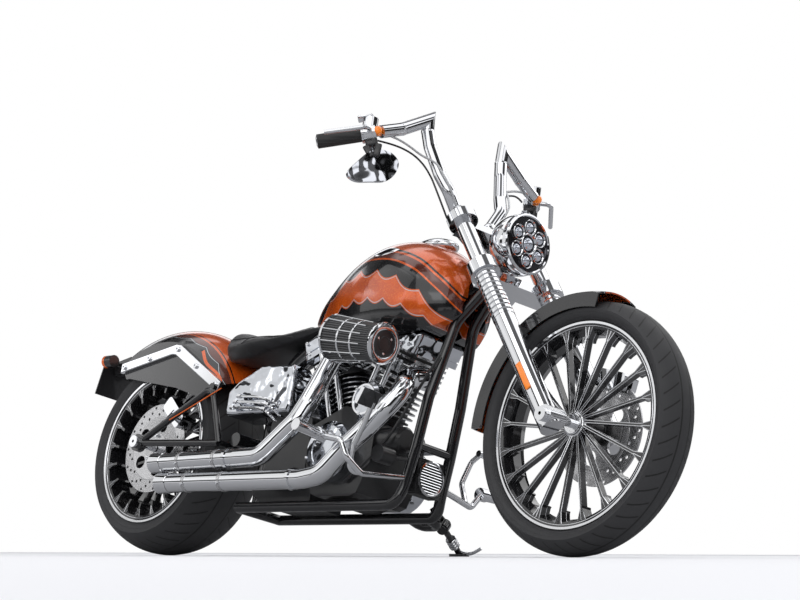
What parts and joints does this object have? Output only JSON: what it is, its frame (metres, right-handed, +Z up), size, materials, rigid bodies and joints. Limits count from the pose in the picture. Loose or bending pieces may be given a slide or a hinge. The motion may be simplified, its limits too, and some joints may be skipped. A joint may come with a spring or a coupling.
{
  "type": "chopper motorcycle",
  "caption": "Low, long chopper motorcycle with a V-twin engine, high handlebar, steered fork, spinning wheels and a folding side stand, leaning as parked.",
  "frame": {"origin": "middle of the bounding box, on the ground that both tyres and the side stand rest on", "axes": "+X towards the front wheel, +Y to the machine's left, the side that it leans to, +Z up"},
  "size_m": [2.458, 1.0387, 1.3009],
  "materials": {
    "tyre_rubber": "matte",
    "wheel_black": "gloss",
    "disc_steel": "brushed",
    "chrome": "polished",
    "frame_black": "gloss",
    "candy_orange": "gloss",
    "seat_leather": "satin",
    "engine_black": "satin",
    "black_rubber": "matte"
  },
  "bodies": {
    "frame": {"rear_axle": "chrome", "main_frame": "frame_black", "rear_fork": "frame_black", "rear_caliper": "chrome", "rear_fender": "candy_orange", "fender_struts": "chrome", "plate_bracket": "engine_black", "fuel_tank": "candy_orange", "tank_console": "chrome", "seat": "seat_leather", "crankcase": "engine_black", "cylinders": "engine_black", "cylinder_heads": "engine_black", "rocker_covers": "chrome", "pushrod_tubes": "chrome", "cam_cover": "chrome", "side_cover": "chrome", "gearbox": "engine_black", "primary_cover": "chrome", "drive_belt": "black_rubber", "air_cleaner": "chrome", "air_filter": "black_rubber", "exhaust_front_pipe": "chrome", "exhaust_rear_pipe": "chrome", "oil_tank": "chrome", "oil_cooler": "engine_black", "oil_filter": "engine_black", "right_foot_control": "chrome", "left_foot_control": "chrome", "brake_master_cylinder": "engine_black"},
    "fork": {"front_axle": "chrome", "fork_tubes": "chrome", "fork_sliders": "chrome", "fork_covers": "chrome", "triple_clamps": "chrome", "handlebar": "chrome", "grips": "black_rubber", "hand_controls": "chrome", "mirrors": "chrome", "headlamp": "chrome", "front_fender": "candy_orange", "front_caliper": "chrome"},
    "front_wheel": {"front_tyre": "tyre_rubber", "front_rim": "wheel_black", "front_disc": "disc_steel"},
    "rear_wheel": {"rear_tyre": "tyre_rubber", "rear_rim": "wheel_black", "rear_disc": "disc_steel", "rear_pulley": "chrome"},
    "side_stand": {"side_stand": "chrome"}
  },
  "joints": [
    {"name": "steering", "type": "hinge", "parent": "frame", "child": "fork", "pos_m": [0.45672, -0.02041, 0.80426], "axis": [-0.5728, 0.1703, 0.8018], "range_deg": [-23.8, 30.2]},
    {"name": "front_wheel_spin", "type": "hinge", "parent": "fork", "child": "front_wheel", "pos_m": [0.88476, -0.12342, 0.34042], "axis": [0.0456, 0.9833, -0.1763], "continuous": true},
    {"name": "rear_wheel_spin", "type": "hinge", "parent": "frame", "child": "rear_wheel", "pos_m": [-0.82516, -0.12326, 0.32161], "axis": [-0.0002, 0.9781, -0.2079], "continuous": true},
    {"name": "side_stand_fold", "type": "hinge", "parent": "frame", "child": "side_stand", "pos_m": [0.24162, 0.00875, 0.08553], "axis": [-0.3394, 0.8, 0.4948], "range_deg": [0, 84.7]}
  ]
}
